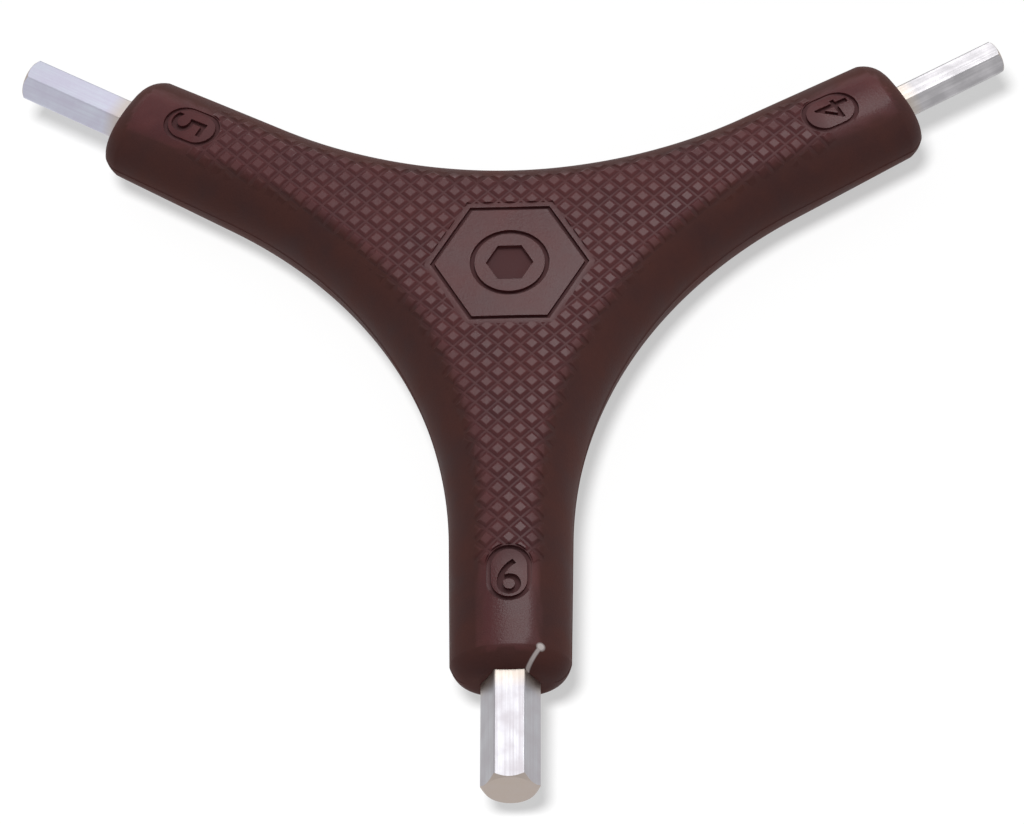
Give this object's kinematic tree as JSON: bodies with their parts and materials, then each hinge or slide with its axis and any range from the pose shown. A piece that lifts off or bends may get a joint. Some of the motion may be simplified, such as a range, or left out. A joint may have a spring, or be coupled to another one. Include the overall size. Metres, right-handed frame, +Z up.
{
  "type": "three-way hex key",
  "caption": "Y-shaped hand tool: a moulded plastic handle with a steel hexagon key standing out of the end of each arm.",
  "frame": {"origin": "centre of the hub on the flat underside that the tool lies on", "axes": "+Z up out of the handle's top face, -Y along the arm of the 6 mm key, +X to the side of the 4 mm key"},
  "size_m": [0.1206, 0.1049, 0.0138],
  "materials": {
    "handle_plastic": "satin brown, checkered on the flat faces",
    "key_steel": "bright drawn steel"
  },
  "bodies": {
    "root": {"handle": "handle_plastic", "hex_key_6_mm": "key_steel", "hex_key_5_mm": "key_steel", "hex_key_4_mm": "key_steel"}
  },
  "joints": []
}
